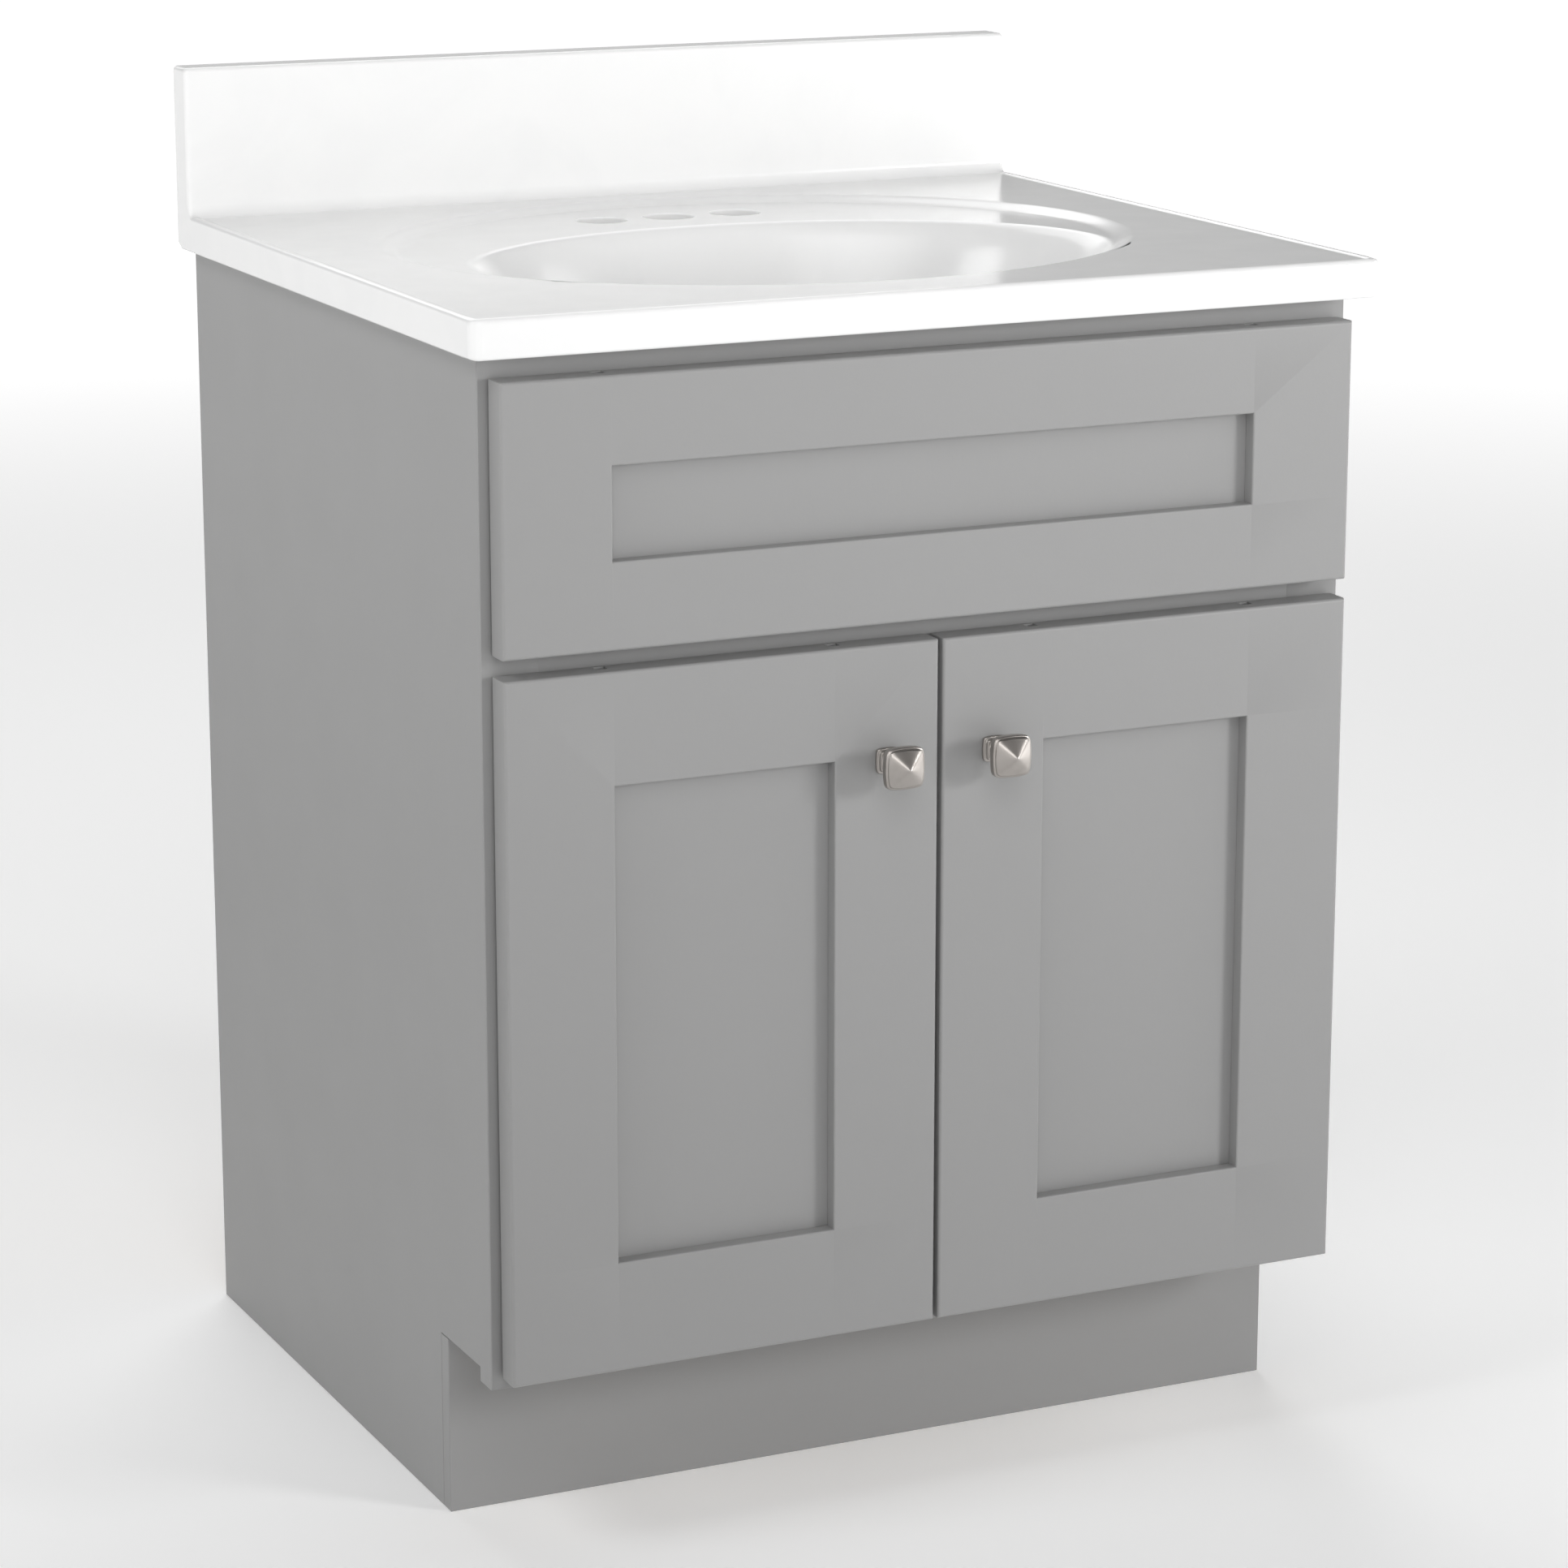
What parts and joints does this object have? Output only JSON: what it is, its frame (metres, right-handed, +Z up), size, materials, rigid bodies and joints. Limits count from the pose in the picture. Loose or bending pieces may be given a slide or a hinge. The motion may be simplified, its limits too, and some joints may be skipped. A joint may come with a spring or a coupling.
{
  "type": "bathroom vanity cabinet",
  "caption": "Floor-standing bathroom vanity: painted face-frame cabinet with recessed-panel overlay doors, a false drawer front, and a cast top with integral oval basin and backsplash.",
  "frame": {"origin": "middle of the bounding box on the floor, under the cabinet", "axes": "+Z up, -Y out of the front where the doors are, +X to the right of someone facing the front"},
  "size_m": [0.635, 0.59, 0.9017],
  "materials": {
    "grey_paint": "satin",
    "cast_marble": "gloss",
    "bare_plywood": "matte",
    "brushed_nickel": "satin",
    "plated_steel": "polished",
    "clear_rubber": "satin"
  },
  "bodies": {
    "cabinet": {"vanity_top": "cast_marble", "left_side_panel": "grey_paint", "right_side_panel": "grey_paint", "left_stile": "grey_paint", "right_stile": "grey_paint", "top_rail": "grey_paint", "mid_rail": "grey_paint", "bottom_rail": "grey_paint", "toe_board": "grey_paint", "false_front_left_stile": "grey_paint", "false_front_right_stile": "grey_paint", "false_front_bottom_rail": "grey_paint", "false_front_top_rail": "grey_paint", "false_front_panel": "grey_paint", "floor_panel": "bare_plywood", "upper_back_rail": "bare_plywood", "lower_back_rail": "bare_plywood", "false_front_left_cleat": "bare_plywood", "false_front_right_cleat": "bare_plywood", "front_left_corner_block": "bare_plywood", "front_right_corner_block": "bare_plywood", "back_left_corner_block": "bare_plywood", "back_right_corner_block": "bare_plywood", "left_upper_hinge_arm": "plated_steel", "left_upper_hinge_screw": "plated_steel", "left_lower_hinge_arm": "plated_steel", "left_lower_hinge_screw": "plated_steel", "right_upper_hinge_arm": "plated_steel", "right_upper_hinge_screw": "plated_steel", "right_lower_hinge_arm": "plated_steel", "right_lower_hinge_screw": "plated_steel"},
    "left_door": {"left_door_hinge_stile": "grey_paint", "left_door_lock_stile": "grey_paint", "left_door_bottom_rail": "grey_paint", "left_door_top_rail": "grey_paint", "left_door_panel": "grey_paint", "left_knob": "brushed_nickel", "left_knob_screw": "plated_steel", "left_upper_hinge_cup": "plated_steel", "left_upper_hinge_pin": "plated_steel", "left_lower_hinge_cup": "plated_steel", "left_lower_hinge_pin": "plated_steel", "left_door_upper_bumper": "clear_rubber", "left_door_lower_bumper": "clear_rubber"},
    "right_door": {"right_door_hinge_stile": "grey_paint", "right_door_lock_stile": "grey_paint", "right_door_bottom_rail": "grey_paint", "right_door_top_rail": "grey_paint", "right_door_panel": "grey_paint", "right_knob": "brushed_nickel", "right_knob_screw": "plated_steel", "right_upper_hinge_cup": "plated_steel", "right_upper_hinge_pin": "plated_steel", "right_lower_hinge_cup": "plated_steel", "right_lower_hinge_pin": "plated_steel", "right_door_upper_bumper": "clear_rubber", "right_door_lower_bumper": "clear_rubber"}
  },
  "joints": [
    {"name": "left_door_hinge", "type": "hinge", "parent": "cabinet", "child": "left_door", "pos_m": [-0.29095, -0.24993, 0.3476], "axis": [0, 0, -1], "range_deg": [0, 100]},
    {"name": "right_door_hinge", "type": "hinge", "parent": "cabinet", "child": "right_door", "pos_m": [0.29095, -0.24993, 0.3476], "axis": [0, 0, 1], "range_deg": [0, 100]}
  ]
}
